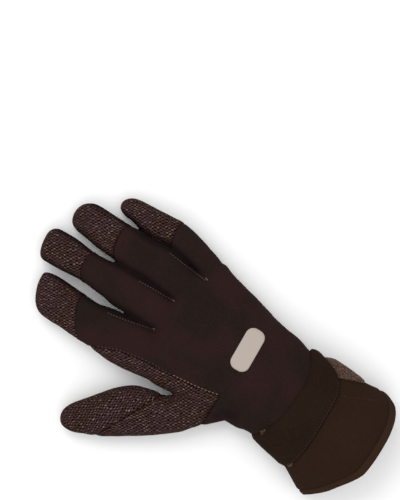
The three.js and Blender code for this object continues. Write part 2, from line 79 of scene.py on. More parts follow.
FINGERS = {
    "index": dict(start=0, length=92.5, width=29.5, height=21, cap=32.5, under=49.5, round=17, lean=0.7),
    "middle": dict(start=0, length=105, width=25.5, height=21, cap=33, under=52, round=8.5, lean=0.3),
    "ring": dict(start=1.5, length=96, width=28, height=21, cap=38, under=52, round=12, lean=0),
    "little": dict(start=14.5, length=82, width=20, height=18, cap=46, under=54, round=10, lean=0),
}

# Sizes and shares of what only the look has
VOXEL = 0.9  # of the remesh that joins the stalls
SKIN = 2.6  # thickness of the walls
LOFT_STEP = 2.5
LOFT_SIDES = 72
TIP_RINGS = 13
TIP_STOP = 12.2  # the last ring stops just short of the tip
TIP_POWER = 2.3  # how square the tips are
CUFF_OVERRUN = 1.15  # the cuff's loft runs past its length and is cut
PALM_WIDEST = 0.76  # share of the palm where it is widest
THUMB_ROOT_ACROSS = -0.29  # share of the knuckle width
THUMB_ROOT_ALONG = 0.23  # share of the palm
THUMB_FROM = 5  # along its axis
THUMB_REACH = 4  # past its sides
THUMB_CLEAR = 0.5  # off the palm
STRIP_END = 1.38  # shares of the palm's length, where the grip cloth strip runs out
STRIP_BLEND_FROM = 0.78  # and where it passes from the palm to the index finger
STRIP_BLEND = 0.16
TOUCH = 1.7  # how much the fingers swell to touch near their roots
TOUCH_FROM = 0.08
SMOOTH_OUT = 0.5
SMOOTH_BACK = -0.52
LIE_FLAT = 1.3  # how softly the underside meets the table
LOWEST_OUTSIDE = 0.15
LOWEST_INSIDE = 0.2
GROOVE_DEPTH = 0.5  # of the seams
GROOVE_WIDTH = 1.0
WELT_HEIGHT = 0.2  # beside the seams
WELT_PLACE = 3.2
WELT_WIDTH = 1.8
CREASE_WIDTH = 2.6  # between the fingers
# How strongly shade is painted into the creases between the fingers
CREASE_SHADE = 0.75
NO_PIECE = 20.0  # a seam function's value away from its piece
NO_SEAM = 9.0  # the seam attribute's value away from every seam
TONE_SHARE = 0.8  # darkens all tones for the bright light
WEAVE_PITCH = 0.0019  # metres
WEAVE_WANDER = 0.001
TURN_STEP = 2.5
STRAP_TURNS = (-20, 250)
STRAP_DROOP = 6  # how far from its front edge the strap comes down to the glove
STRAP_SEATED = 0.1
EDGE_THINNER = 0.55  # share of its height that the strap loses at its edges
EDGE_REACH = 0.03
LINE_PLACE = 2.7  # the faint line beside the strap's edges
LINE_REACH = 1.4
LINE_SEAM = 1.1  # how dark it is, as a seam attribute
LOOSE_HEIGHT = 1.6  # where the loop patch stands off
LOOSE_PLACE = -37
LOOSE_REACH = 6
SEAM_MARGIN = 0.6  # how far one seam function keeps another's groove off
STRAP_STITCH = 1.2  # from the strap's rear edge
PRINT_WIDE = 34
PRINT_LONG = 15
PRINT_CORNER = 6
PRINT_THICKNESS = 0.35
PRINT_SUNK = 0.25
PRINT_PLACE = (22, 22)
PRINT_POINTS = 96
PRINT_RINGS = 8
BODY_SHIFT_X = 8.98  # from the tables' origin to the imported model's
BODY_SHIFT_Y = -47.574

# Tables, the same as the solids have


def table(columns, rows):
    """Named columns as arrays."""
    return {name: np.array([row[i] for row in rows], float) for i, name in enumerate(columns)}


CUFF_ROWS = table(("along", "widen", "centre", "bottom", "top"), (
    (-1.2, 1.14, -0.046, -0.04, 0.98),
    (-0.95, 1.12, -0.046, -0.04, 0.97),
    (-0.78, 1.0, -0.04, -0.03, 0.92),
    (-0.66, 0.9, -0.034, 0.0, 0.88),
    (-0.58, 0.74, -0.017, 0.02, 0.85),
    (-0.49, 0.49, 0.013, 0.06, 0.83),
    (-0.42, 0.3, 0.032, 0.075, 0.815),
    (-0.25, 0.0, 0.042, 0.08, 0.8),
    (-0.1, 0.07, 0.083, 0.075, 0.8),
    (0.0, 0.25, 0.085, 0.06, 0.8),
))
PALM_ROWS = table(("along", "widen", "centre", "bottom", "top"), (
    (0.0, 0.155, 0.075, 0.075, 0.99),
    (0.14, 0.24, 0.086, -0.07, 1.01),
    (0.33, 0.43, 0.106, -0.12, 1.01),
    (0.66, 0.73, 0.14, -0.12, 0.94),
    (0.76, 0.84, 0.15, -0.11, 0.9),
    (0.86, 0.6, 0.13, -0.08, 0.85),
    (1.0, 0.1, 0.08, 0.03, 0.74),
))
FINGER_ROWS = table(("along", "lift", "depth"), (
    (-0.25, 0.9, 0.8),
    (0.0, 0.3, 1.14),
    (0.2, 0.8, 1.06),
    (0.4, 1.0, 0.98),
    (0.62, 0.6, 0.96),
    (0.8, 0.0, 0.95),
    (1.0, -0.25, 0.85),
))
FINGER_WIDTHS = table(("along", "index", "middle", "ring", "little"), (
    (-0.25, 1.15, 0.95, 0.92, 0.82),
    (0.0, 1.25, 1.03, 0.98, 0.94),
    (0.2, 1.19, 1.03, 0.99, 0.98),
    (0.4, 1.05, 1.03, 0.93, 0.99),
    (0.62, 1.05, 0.91, 1.0, 1.0),
    (0.8, 1.07, 1.04, 0.95, 0.88),
    (1.0, 1.03, 1.03, 0.82, 0.7),
))
GAP_ROWS = table(("along", "index", "middle", "ring", "lean"), (
    (-0.25, 0.0, 0.0, -0.2, 0.0),
    (0.0, 0.05, 0.05, 0.2, 0.0),
    (0.2, 0.55, 0.29, 0.37, -0.09),
    (0.4, 0.81, 0.25, 0.46, -0.16),
    (0.62, 0.88, 0.5, 0.46, 0.06),
    (0.8, 0.6, 0.6, 0.46, 0.075),
    (1.0, 0.6, 0.6, 0.46, 0.075),
))
THUMB_ROWS = table(("along", "width", "centre", "bottom", "top"), (
    (-0.13, 0.36, 0.02, 0.24, 0.7),
    (-0.02, 0.5, 0.01, 0.12, 0.84),
    (0.11, 0.7, 0.04, 0.02, 0.98),
    (0.22, 0.8, -0.01, -0.05, 1.03),
    (0.3, 0.79, -0.036, -0.06, 1.03),
    (0.4, 0.945, 0.022, -0.06, 1.02),
    (0.5, 1.05, 0.067, -0.06, 1.0),
    (0.62, 1.01, 0.057, -0.06, 0.96),
    (0.73, 0.9, 0.014, -0.06, 0.91),
    (0.87, 0.67, -0.02, -0.06, 0.84),
    (1.0, 0.52, -0.05, -0.05, 0.78),
))
STRIP_ROWS = table(("along", "wide"), (
    (0.26, 1.25), (0.4, 1.1), (0.7, 0.98), (0.85, 1.0), (1.04, 1.0), (1.2, 0.76), (1.38, 0.0),
))
STRAP_ROWS = table(("turn", "front", "rear", "lift"), (
    (-20, 0.42, 0.22, 1),
    (0, 0.42, 0.2, 1),
    (20, 0.38, 0.0, 1),
    (40, 0.26, -0.4, 0.7),
    (60, 0.18, -0.62, 0.2),
    (90, 0.2, -0.64, 0),
    (120, 0.34, -0.58, 0),
    (160, 0.56, -0.42, 0),
    (180, 0.62, -0.31, 0),
    (200, 0.6, -0.3, 0),
    (250, 0.56, -0.34, 0),
))
CUFF_END = table(("across", "up"), (
    (-1.05, 1.25), (-0.99, 1.07), (-0.91, 0.93), (-0.74, 0.66), (-0.58, 0.48), (-0.32, 0.215),
    (-0.17, 0.12), (0.24, 0.065), (0.62, 0.09), (0.88, 0.23), (0.98, 0.46), (1.05, 0.8),
))


def column(rows, name, at, key="along"):
    """A table's column at any places, by the same cubic as the solids use."""
    x, v = rows[key], rows[name]
    at = np.clip(np.asarray(at, float), x[0], x[-1])
    i = np.clip(np.searchsorted(x, at) - 1, 0, len(x) - 2)
    before, after = np.maximum(i - 1, 0), np.minimum(i + 2, len(x) - 1)
    span = x[i + 1] - x[i]
    t = (at - x[i]) / span
    slope_in = (v[i + 1] - v[before]) / (x[i + 1] - x[before]) * span
    slope_out = (v[after] - v[i]) / (x[after] - x[i]) * span
    cubic = (2 * t - 3) * t * t
    return v[i] * (cubic + 1) - v[i + 1] * cubic + slope_in * t * (1 - t) ** 2 - slope_out * t * t * (1 - t)


def mix(a, b, share):
    """The value a share of the way from a to b."""
    return a + (b - a) * share


def finger_share(name, y):
    """How far along a finger y is, as a share of its length."""
    finger = FINGERS[name]
    return (np.asarray(y, float) - (PALM_LENGTH - finger["start"])) / finger["length"]


def finger_width(name, y):
    return FINGERS[name]["width"] * column(FINGER_WIDTHS, name, finger_share(name, y))


def finger_centre(name, y):
    """The middle of a finger at y: they are laid side by side from the line between the first two."""
    share = finger_share("middle", y)
    gap = {key: FINGER_GAP * column(GAP_ROWS, key, share) for key in ("index", "middle", "ring", "lean")}
    if name == "index":
        return gap["lean"] - gap["index"] / 2 - finger_width("index", y) / 2
    left = gap["lean"] + gap["index"] / 2
    for other in ("middle", "ring", "little"):
        width = finger_width(other, y)
        if other == name:
            return left + width / 2
        left = left + width + gap[other]


KNUCKLE_WIDTH = sum(float(finger_width(n, PALM_LENGTH - f["start"])) for n, f in FINGERS.items())
THUMB_ROOT = np.array((THUMB_ROOT_ACROSS * KNUCKLE_WIDTH, THUMB_ROOT_ALONG * PALM_LENGTH))


def body_section(y):
    """Middle, half width, bottom and top of palm and cuff at y."""
    y = np.asarray(y, float)
    cuff = {k: column(CUFF_ROWS, k, y / CUFF_LENGTH) for k in ("widen", "centre", "bottom", "top")}
    palm = {k: column(PALM_ROWS, k, y / PALM_LENGTH) for k in ("widen", "centre", "bottom", "top")}
    low = y < 0
    cuff_width = mix(WRIST_WIDTH, CUFF_WIDTH, cuff["widen"])
    palm_width = mix(WRIST_WIDTH, KNUCKLE_WIDTH, palm["widen"])
    return (
        np.where(low, cuff["centre"] * CUFF_WIDTH, palm["centre"] * KNUCKLE_WIDTH),
        np.where(low, cuff_width, palm_width) / 2,
        np.where(low, cuff["bottom"] * CUFF_HEIGHT, palm["bottom"] * PALM_HEIGHT),
        np.where(low, cuff["top"] * CUFF_HEIGHT, palm["top"] * PALM_HEIGHT),
    )


def finger_section(name, y):
    """Middle, half width, bottom and top of a finger at y."""
    share = finger_share(name, y)
    bottom = column(FINGER_ROWS, "lift", share) * FINGER_ARCH
    return (
        finger_centre(name, y),
        finger_width(name, y) / 2,
        bottom,
        bottom + column(FINGER_ROWS, "depth", share) * FINGERS[name]["height"],
    )


def thumb_section(y):
    """Middle, half width, bottom and top of the thumb at y, along its own axis."""
    share = np.asarray(y, float) / THUMB_LENGTH
    return (
        column(THUMB_ROWS, "centre", share) * THUMB_WIDTH,
        column(THUMB_ROWS, "width", share) * THUMB_WIDTH / 2,
        column(THUMB_ROWS, "bottom", share) * THUMB_HEIGHT,
        column(THUMB_ROWS, "top", share) * THUMB_HEIGHT,
    )


def section_points(section, y, angle, out=0.0, shrink=1.0):
    """Points of a section at y and angle, pushed out by out. All may be arrays."""
    centre, half, bottom, top = section
    bow = lambda v: np.sign(v) * np.abs(v) ** (2 / SECTION_POWER)
    x = centre + bow(np.cos(angle)) * (half + out) * shrink
    z = (top + bottom) / 2 + bow(np.sin(angle)) * ((top - bottom) / 2 + out) * shrink
    return np.stack(np.broadcast_arrays(x, y, z), -1)


# Mesh helpers


def loft(rings):
    """A closed skin over rings of points, as (points, quads and end polygons)."""
    rings = np.asarray(rings)
    count, sides = rings.shape[:2]
    faces = []
    for r in range(count - 1):
        for k in range(sides):
            n = (k + 1) % sides
            faces.append((r * sides + k, r * sides + n, (r + 1) * sides + n, (r + 1) * sides + k))
    faces.append(tuple(range(sides - 1, -1, -1)))
    faces.append(tuple((count - 1) * sides + k for k in range(sides)))
    return rings.reshape(-1, 3), faces


def stall(section_of, start, end, radius, lean=0.0):
    """A loft along y with a rounded tip, which lean draws sideways."""
    ys = list(np.arange(start, end - radius, LOFT_STEP))
    ys += [end - radius + radius * math.sin(k / TIP_STOP * math.pi / 2) for k in range(TIP_RINGS)]
    angle = np.arange(LOFT_SIDES) / LOFT_SIDES * 2 * math.pi
    rings = []
    for y in ys:
        u = max(0.0, (y - (end - radius)) / radius)
        shrink = (1 - u**TIP_POWER) ** (1 / TIP_POWER)
        centre, half, bottom, top = section_of(y)
        section = (centre + lean * (1 - shrink) * half, half, bottom, top)
        rings.append(section_points(section, y, angle, 0.0, shrink))
    return loft(rings)


def on_thumb(points):
    """From the thumb's own axis to the glove."""
    c, s = math.cos(THUMB_ANGLE), math.sin(THUMB_ANGLE)
    made = points.copy()
    made[:, 0] = THUMB_ROOT[0] + c * points[:, 0] - s * points[:, 1]
    made[:, 1] = THUMB_ROOT[1] + s * points[:, 0] + c * points[:, 1]
    return made


def thumb_axes(points):
    """Across and along the thumb's axis, for points of the glove."""
    c, s = math.cos(THUMB_ANGLE), math.sin(THUMB_ANGLE)
    d = points[:, :2] - THUMB_ROOT
    return c * d[:, 0] + s * d[:, 1], -s * d[:, 0] + c * d[:, 1]


def to_row(points):
    """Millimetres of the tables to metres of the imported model."""
    return (np.asarray(points) + (BODY_SHIFT_X, BODY_SHIFT_Y, 0)) * MM


def new_object(name, points, faces, material=None, smooth=True):
    """A mesh object in the scene."""
    mesh = bpy.data.meshes.new(name)
    mesh.from_pydata([tuple(p) for p in points], [], [tuple(int(i) for i in f) for f in faces])
    mesh.update()
    if smooth:
        mesh.shade_smooth()
    made = bpy.data.objects.new(name, mesh)
    bpy.context.scene.collection.objects.link(made)
    if material:
        mesh.materials.append(material)
    return made


def float_attribute(mesh, name, values):
    """Stores one number for each point, for the materials."""
    layer = mesh.attributes.new(name, "FLOAT", "POINT")
    layer.data.foreach_set("value", np.asarray(values, np.float32))


# The glove's skin: every stall joined, remeshed into one surface and smoothed


# Up to which share of the middle finger two fingers touch, and from where they part
TOUCHING = (("index", "middle", 0.34, 0.42), ("middle", "ring", 0.36, 0.5), ("ring", "little", 0.42, 0.52))


def touching(name, y):
    """A finger's section, swollen to touch its neighbours near their roots."""
    centre, half, bottom, top = finger_section(name, y)
    share = float(finger_share("middle", y))
    swell = {"left": 0.0, "right": 0.0}
    for left, right, stop, parted in TOUCHING:
        amount = TOUCH * max(0.0, min(1.0, share / TOUCH_FROM, (parted - share) / (parted - stop)))
        if name == left:
            swell["right"] = amount
        if name == right:
            swell["left"] = amount
    return centre + (swell["right"] - swell["left"]) / 2, half + sum(swell.values()) / 2, bottom, top


def glove_surface():
    """Points and triangles of the whole glove as one skin, in millimetres."""
    parts = [stall(body_section, -CUFF_LENGTH * CUFF_OVERRUN, PALM_LENGTH, PALM_ROUND)]
    for name, finger in FINGERS.items():
        crotch = PALM_LENGTH - finger["start"]
        tip = crotch + finger["length"]
        section_of = lambda y, n=name: touching(n, y)
        parts.append(stall(section_of, crotch - FINGER_ROOT, tip, finger["round"], finger["lean"]))
    thumb = stall(thumb_section, -0.13 * THUMB_LENGTH, THUMB_LENGTH, THUMB_TIP_RADIUS)
    parts.append((on_thumb(thumb[0]), thumb[1]))
    points, faces, base = [], [], 0
    for p, f in parts:
        points.append(p)
        faces += [tuple(i + base for i in face) for face in f]
        base += len(p)
    rough = new_object("rough", np.concatenate(points) * MM, faces)
    remesh = rough.modifiers.new("remesh", "REMESH")
    remesh.mode = "VOXEL"
    remesh.voxel_size = VOXEL * MM
    bpy.context.view_layer.update()
    graph = bpy.context.evaluated_depsgraph_get()
    fine = bpy.data.meshes.new_from_object(rough.evaluated_get(graph))
    v = np.empty(len(fine.vertices) * 3)
    fine.vertices.foreach_get("co", v)
    v = v.reshape(-1, 3) / MM
    fine.calc_loop_triangles()
    f = np.empty(len(fine.loop_triangles) * 3, int)
    fine.loop_triangles.foreach_get("vertices", f)
    bpy.data.objects.remove(rough)
    bpy.data.meshes.remove(fine)
    return v, f.reshape(-1, 3)


def edges_of(f):
    """Each edge once, as a pair of points."""
    pairs = np.sort(np.concatenate([f[:, [0, 1]], f[:, [1, 2]], f[:, [2, 0]]]), axis=1)
    return np.unique(pairs, axis=0)


def smoothed(v, edges, rounds):
    """Taubin smoothing, which keeps the volume."""
    count = np.bincount(edges.ravel(), minlength=len(v))[:, None]
    for k in range(rounds * 2):
        total = np.zeros_like(v)
        for axis in range(3):
            total[:, axis] = np.bincount(edges[:, 0], v[edges[:, 1], axis], len(v))
            total[:, axis] += np.bincount(edges[:, 1], v[edges[:, 0], axis], len(v))
        v = v + (total / count - v) * (SMOOTH_OUT if k % 2 == 0 else SMOOTH_BACK)
    return v


def normals_of(v, f):
    """A unit normal at each point."""
    face = np.cross(v[f[:, 1]] - v[f[:, 0]], v[f[:, 2]] - v[f[:, 0]])
    total = np.zeros_like(v)
    for k in range(3):
        for axis in range(3):
            total[:, axis] += np.bincount(f[:, k], face[:, axis], len(v))
    return total / np.maximum(np.linalg.norm(total, axis=1, keepdims=True), 1e-12)


# Seam functions: positive on the named side, in millimetres near the seam

# How much longer a cap is than its solid, and how far its edge slants across the finger
CAP_EDGES = {"index": (5, 0.5), "middle": (3, 0.12), "ring": (0, 0.1), "little": (0, 0.1)}


def end_value(v, trim):
    """Above the cuff's slanted end, or above a line trim further in."""
    centre, half = (float(q) for q in body_section(-CUFF_LENGTH * 0.9)[:2])
    across = (v[:, 0] - centre) / half
    end = trim - CUFF_LENGTH + column(CUFF_END, "up", across, "across") * CUFF_SLANT
    return v[:, 1] - end


def finger_of(v):
    """For each finger, which points are nearest to its axis."""
    names = list(FINGERS)
    x, y = v[:, 0], v[:, 1]
    gaps = np.stack([np.abs(x - finger_centre(n, y)) - finger_width(n, y) / 2 for n in names])
    nearest = gaps.argmin(0)
    return {n: (nearest == i) for i, n in enumerate(names)}


def cap_value(name, v, mine):
    """Past the edge of a fingertip's cap."""
    finger = FINGERS[name]
    tip = PALM_LENGTH - finger["start"] + finger["length"]
    _, _, bottom, top = (float(q) for q in finger_section(name, tip - finger["cap"]))
    slope = (finger["under"] - finger["cap"]) / (top - bottom)
    longer, slant = CAP_EDGES[name]
    across = v[:, 0] - float(finger_centre(name, tip - finger["cap"]))
    value = v[:, 1] - (tip - finger["cap"] - longer + slant * across - (top - v[:, 2]) * slope)
    return np.where(mine & ~thumb_side(v), value, -NO_PIECE)


def thumb_side(v):
    """Points that belong to the thumb and not to palm or index finger."""
    across, along = thumb_axes(v)
    centre, half, _, _ = body_section(np.minimum(v[:, 1], PALM_LENGTH * PALM_WIDEST))
    beside = v[:, 0] < centre - half - THUMB_CLEAR
    near = np.abs(across - thumb_section(along)[0]) < thumb_section(along)[1] + THUMB_REACH
    return beside & near & (along > THUMB_FROM)


def thumb_value(v):
    """Past the slanted seam of the thumb."""
    across, along = thumb_axes(v)
    c, s = math.cos(THUMB_SEAM_SLANT), math.sin(THUMB_SEAM_SLANT)
    seam = THUMB_SEAM * THUMB_LENGTH
    value = -s * (across - float(thumb_section(seam)[0])) + c * (along - seam)
    centre, half, _, _ = body_section(np.minimum(v[:, 1], PALM_LENGTH * PALM_WIDEST))
    return np.where(thumb_side(v), np.minimum(value, centre - half - v[:, 0]), -NO_PIECE)


def strip_seam(y):
    """Where the seam between back panel and grip cloth runs, on the thumb side."""
    centre, half, _, _ = body_section(np.minimum(y, PALM_LENGTH * PALM_WIDEST))
    index_side = finger_centre("index", y) - finger_width("index", y) / 2
    blend = np.clip((y - PALM_LENGTH * STRIP_BLEND_FROM) / (PALM_LENGTH * STRIP_BLEND), 0, 1)
    side = mix(centre - half, index_side, blend * blend * (3 - 2 * blend))
    return side + column(STRIP_ROWS, "wide", y / PALM_LENGTH) * STRIP_WIDTH


def grip_value(v):
    """On the grip cloth: the palm side, and the strip on the thumb side of the back."""
    x, y, z = v.T
    strip = np.where(y < STRIP_END * PALM_LENGTH, strip_seam(y) - x, -NO_PIECE)
    strip = np.minimum(strip, STRIP_END * PALM_LENGTH - y)
    return np.minimum(y - TEXTURE_START, np.maximum(PARTING_HEIGHT - z, strip))


def base_value(v):
    """On the smooth panel under the roots of the middle, ring and little finger."""
    x, y, z = v.T
    drop = {n: PALM_LENGTH - FINGERS[n]["start"] - FINGER_BASE_DROP for n in FINGERS}
    ring_middle = float(finger_centre("ring", drop["ring"]))
    heights = (drop["middle"], drop["ring"] - 1, drop["little"] + 2, drop["little"] - 2)
    line = np.interp(x, (0, ring_middle, 58, 78), heights)
    return np.minimum(np.minimum(x, y - line), PARTING_HEIGHT - z)


# Cutting the skin along its seams


def split(part, value):
    """The part where value is positive and where it isn't, cut along value = 0."""
    f, inside = part["f"], value > 0
    count = inside[f].sum(1)
    mixed = f[(count == 1) | (count == 2)]
    lone = inside[mixed] == (inside[mixed].sum(1) == 1)[:, None]
    first = lone.argmax(1)
    rows = np.arange(len(mixed))
    a, b, c = (mixed[rows, (first + k) % 3] for k in range(3))
    pairs = np.sort(np.concatenate([np.stack([a, b], 1), np.stack([a, c], 1)]), axis=1)
    unique, index = np.unique(pairs, axis=0, return_inverse=True)
    index = index.reshape(-1) + len(part["v"])
    ab, ac = index[: len(a)], index[len(a):]
    t = value[unique[:, 0]] / (value[unique[:, 0]] - value[unique[:, 1]])
    t = np.clip(t, 0.02, 0.98)[:, None]
    grown = {}
    for key, data in part.items():
        if key != "f":
            flat = data if data.ndim == 2 else data[:, None]
            cut = flat[unique[:, 0]] * (1 - t) + flat[unique[:, 1]] * t
            grown[key] = np.concatenate([flat, cut])
    small = np.stack([a, ab, ac], 1)
    large = np.concatenate([np.stack([ab, b, c], 1), np.stack([ab, c, ac], 1)])
    lone_in = inside[a]
    twice = np.concatenate([lone_in, lone_in])
    keep = np.concatenate([f[count == 3], small[lone_in], large[~twice]])
    rest = np.concatenate([f[count == 0], small[~lone_in], large[twice]])
    return compact(grown, keep), compact(grown, rest)


def compact(grown, faces):
    """A part of these faces and only the points that they use."""
    used, index = np.unique(faces, return_inverse=True)
    made = {key: (data[used] if data.shape[1] > 1 else data[used, 0]) for key, data in grown.items()}
    made["f"] = index.reshape(-1, 3)
    return made


def largest(part):
    """The part's biggest connected patch, and what is left."""
    f = part["f"]
    label = np.arange(len(part["v"]))
    edges = edges_of(f)
    while True:
        low = np.minimum(label[edges[:, 0]], label[edges[:, 1]])
        before = label.copy()
        np.minimum.at(label, edges[:, 0], low)
        np.minimum.at(label, edges[:, 1], low)
        label = label[label]
        if (label == before).all():
            break
    names, counts = np.unique(label[f[:, 0]], return_counts=True)
    main = label[f[:, 0]] == names[counts.argmax()]
    grown = {k: (d if d.ndim == 2 else d[:, None]) for k, d in part.items() if k != "f"}
    return compact(grown, f[main]), compact(grown, f[~main]) if (~main).any() else None


def joined(one, other):
    """Two parts as one."""
    if other is None or not len(other["f"]):
        return one
    made = {key: np.concatenate([one[key], other[key]]) for key in one if key != "f"}
    made["f"] = np.concatenate([one["f"], other["f"] + len(one["v"])])
    return made


def thick_object(name, part, material):
    """A closed wall: the outer skin, the same skin further in, and the rim between them."""
    v, f, n = part["v"], part["f"], part["n"]
    n = n / np.maximum(np.linalg.norm(n, axis=1, keepdims=True), 1e-9)
    inner = v - n * SKIN
    inner[:, 2] = np.maximum(inner[:, 2], LOWEST_INSIDE)
    directed = np.concatenate([f[:, [0, 1]], f[:, [1, 2]], f[:, [2, 0]]])
    key = directed[:, 0] * len(v) + directed[:, 1]
    back = directed[:, 1] * len(v) + directed[:, 0]
    rim = directed[~np.isin(key, back)]
    size = len(v)
    walls = np.concatenate([
        np.stack([rim[:, 1], rim[:, 0], rim[:, 0] + size], 1),
        np.stack([rim[:, 1], rim[:, 0] + size, rim[:, 1] + size], 1),
    ])
    faces = np.concatenate([f, f[:, ::-1] + size, walls])
    made = new_object(name, to_row(np.concatenate([v, inner])), faces, material)
    float_attribute(made.data, "seam", np.concatenate([part["seam"], np.full(size, NO_SEAM)]))
    float_attribute(made.data, "shade", np.concatenate([part["shade"], np.full(size, 0.0)]))
    return made


# Materials. Noise scales are for metres, and tones are what a screen shows.

GRIP_TONES = {
    "thread": (62, 44, 45),
    "warm": (59, 40, 33),
    "pit": (5, 1, 1),
    "knot": (134, 113, 111),
}
FLECK_TONE = (60, 48, 44)


def srgb(r, g, b):
    """A colour of 0 to 255 as linear values, darkened for the bright studio light."""
    def line(c):
        c /= 255
        return c / 12.92 if c <= 0.04045 else ((c + 0.055) / 1.055) ** 2.4
    return (TONE_SHARE * line(r), TONE_SHARE * line(g), TONE_SHARE * line(b), 1.0)


class Shader:
    """A few short ways to add nodes to a material."""

    def __init__(self, name):
        self.material = bpy.data.materials.new(name)
        self.material.use_nodes = True
        self.nodes = self.material.node_tree.nodes
        self.links = self.material.node_tree.links
        self.bsdf = self.nodes["Principled BSDF"]

    def put(self, socket, value):
        if isinstance(value, bpy.types.NodeSocket):
            self.links.new(value, socket)
        else:
            socket.default_value = value

    def math(self, operation, a, b=0.0, c=0.0):
        node = self.nodes.new("ShaderNodeMath")
        node.operation = operation
        for socket, value in zip(node.inputs, (a, b, c)):
            self.put(socket, value)
        return node.outputs[0]

    def blend(self, factor, a, b):
        node = self.nodes.new("ShaderNodeMix")
        node.data_type = "RGBA"
        self.put(node.inputs["Factor"], factor)
        self.put(node.inputs["A"], a)
        self.put(node.inputs["B"], b)
        return node.outputs["Result"]

    def attribute(self, name):
        node = self.nodes.new("ShaderNodeAttribute")
        node.attribute_name = name
        return node.outputs["Fac"]

    def noise(self, scale, detail):
        node = self.nodes.new("ShaderNodeTexNoise")
        node.inputs["Scale"].default_value = scale
        node.inputs["Detail"].default_value = detail
        self.put(node.inputs["Vector"], self.place())
        return node.outputs["Fac"]

    def place(self):
        return self.nodes.new("ShaderNodeTexCoord").outputs["Object"]

    def ramp(self, value, low, high):
        node = self.nodes.new("ShaderNodeMapRange")
        node.interpolation_type = "SMOOTHSTEP"
        self.put(node.inputs["Value"], value)
        node.inputs["From Min"].default_value = low
        node.inputs["From Max"].default_value = high
        return node.outputs["Result"]

    def bump(self, height, distance, strength):
        node = self.nodes.new("ShaderNodeBump")
        node.inputs["Distance"].default_value = distance
        node.inputs["Strength"].default_value = strength
        self.put(node.inputs["Height"], height)
        return node.outputs["Normal"]

    def finish(self, colour, roughness, sheen, normal):
        self.put(self.bsdf.inputs["Base Color"], colour)
        self.bsdf.inputs["Roughness"].default_value = roughness
        self.bsdf.inputs["Sheen Weight"].default_value = sheen
        self.bsdf.inputs["Sheen Roughness"].default_value = 0.5
        self.bsdf.inputs["Specular IOR Level"].default_value = 0.03
        self.links.new(normal, self.bsdf.inputs["Normal"])
        return self.material


def neoprene_material(name, base, warm, seam_line_and_shade_tone=(20, 13, 12)):
    """Fine knit over foam: mottled, with shade painted into the seam grooves and the creases."""
    s = Shader(name)
    mottled = s.blend(s.ramp(s.noise(30, 4), 0.38, 0.64), srgb(*base), srgb(*warm))
    flecks = s.math("MULTIPLY", s.ramp(s.noise(1100, 3), 0.45, 0.8), 0.3)
    fine = s.blend(flecks, mottled, srgb(*FLECK_TONE))
    # Near a seam the colour blends towards the seam tone: painted shade in the glove's seam grooves, and on
    # the strap a faint lighter line beside its edges.
    in_seam = s.math("MULTIPLY", s.ramp(s.attribute("seam"), 1.3, 0.2), 0.7)
    seamed = s.blend(in_seam, fine, srgb(*seam_line_and_shade_tone))
    # Painted shade: where the shade attribute is set, in the creases and the hollow by the thumb, the
    # colour blends towards the seam tone.
    shaded = s.blend(s.attribute("shade"), seamed, srgb(*seam_line_and_shade_tone))
    knit = s.math("ADD", s.noise(1500, 2), s.math("MULTIPLY", s.noise(300, 2), 0.6))
    return s.finish(shaded, 0.9, 0.01, s.bump(knit, 0.0003, 0.5))


def weave_height(s, turn):
    """Rows of raised threads with pits between them, laid flat on each side of the glove."""
    def turned(source):
        rotate = s.nodes.new("ShaderNodeVectorRotate")
        rotate.rotation_type = "Z_AXIS"
        rotate.inputs["Angle"].default_value = -turn
        s.links.new(source, rotate.inputs["Vector"])
        return rotate.outputs[0]

    def shifted(source, scale, size):
        drift = s.nodes.new("ShaderNodeTexNoise")
        drift.inputs["Scale"].default_value = scale
        drift.inputs["Detail"].default_value = 1.0
        s.links.new(s.place(), drift.inputs["Vector"])
        add = s.nodes.new("ShaderNodeVectorMath")
        add.operation = "MULTIPLY_ADD"
        s.links.new(drift.outputs["Color"], add.inputs[0])
        add.inputs[1].default_value = (size, size, size)
        s.links.new(source, add.inputs[2])
        return add.outputs[0]

    def parts(source):
        node = s.nodes.new("ShaderNodeSeparateXYZ")
        s.links.new(source, node.inputs[0])
        return node.outputs

    wandering = shifted(turned(s.place()), 45, 5 * WEAVE_WANDER)
    x, y, z = parts(shifted(wandering, 330, 2.2 * WEAVE_WANDER))
    geometry = s.nodes.new("ShaderNodeNewGeometry")

    def threads(across, along):
        """1 on the threads and 0 in the pits, which stand in staggered rows."""
        row = s.math("MULTIPLY", across, math.tau / WEAVE_PITCH)
        stagger = s.math("MULTIPLY", across, math.pi / WEAVE_PITCH)
        knot = s.math("ADD", s.math("MULTIPLY", along, math.tau / (WEAVE_PITCH * 1.25)), stagger)
        return s.math("MULTIPLY_ADD", s.math("ADD", s.math("SINE", row), s.math("SINE", knot)), 0.25, 0.5)

    facing = parts(turned(geometry.outputs["Normal"]))
    weights = [s.math("POWER", s.math("ABSOLUTE", n), 6.0) for n in facing]
    total = s.math("ADD", s.math("ADD", weights[0], weights[1]), weights[2])
    sides = [s.math("MULTIPLY", threads(*uv), w) for uv, w in zip(((z, y), (z, x), (x, y)), weights)]
    return s.math("DIVIDE", s.math("ADD", s.math("ADD", sides[0], sides[1]), sides[2]), total)


